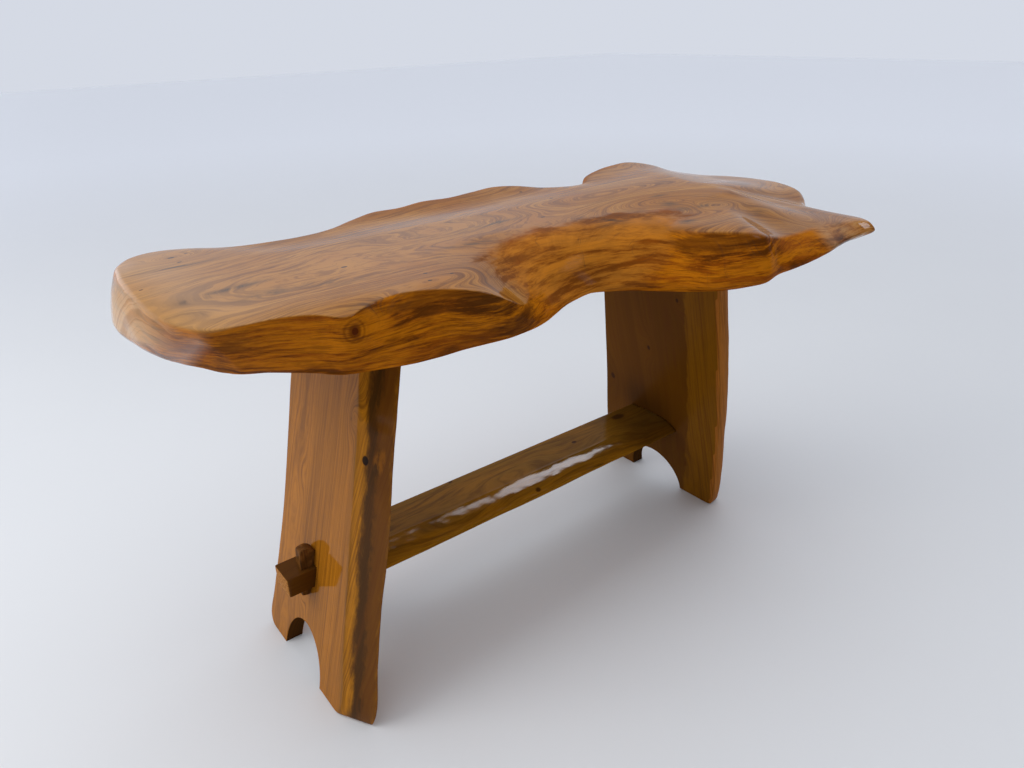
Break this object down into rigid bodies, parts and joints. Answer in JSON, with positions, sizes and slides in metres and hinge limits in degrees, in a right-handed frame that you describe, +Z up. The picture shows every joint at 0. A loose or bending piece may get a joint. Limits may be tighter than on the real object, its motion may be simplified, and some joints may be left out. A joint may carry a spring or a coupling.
{
  "type": "live-edge trestle table",
  "caption": "Low rustic table: an irregular live-edge slab on two splayed board legs with foot arches, tied by a wedged through-tenon rail.",
  "frame": {"origin": "middle of the table's bounding box, on the floor under it", "axes": "+X from the left leg to the right leg along the slab, +Y to the back, +Z up"},
  "size_m": [0.9319, 0.4172, 0.5082],
  "materials": {
    "slab_wood": "gloss varnish over a burred, figured slab",
    "leg_wood": "gloss varnish over flat-sawn boards with sapwood edges",
    "rail_wood": "gloss varnish",
    "wedge_wood": "varnish, darkened at the joint"
  },
  "bodies": {
    "table": {"tabletop_slab": "slab_wood", "left_leg": "leg_wood", "right_leg": "leg_wood", "stretcher_rail": "rail_wood"},
    "left_key": {"left_wedge": "wedge_wood"},
    "right_key": {"right_wedge": "wedge_wood"}
  },
  "joints": [
    {"name": "left_wedge_lift", "type": "slide", "parent": "table", "child": "left_key", "axis": [0.2419, 0, 0.9703], "range_m": [0, 0.05]},
    {"name": "right_wedge_lift", "type": "slide", "parent": "table", "child": "right_key", "axis": [-0.2419, 0, 0.9703], "range_m": [0, 0.05]}
  ]
}
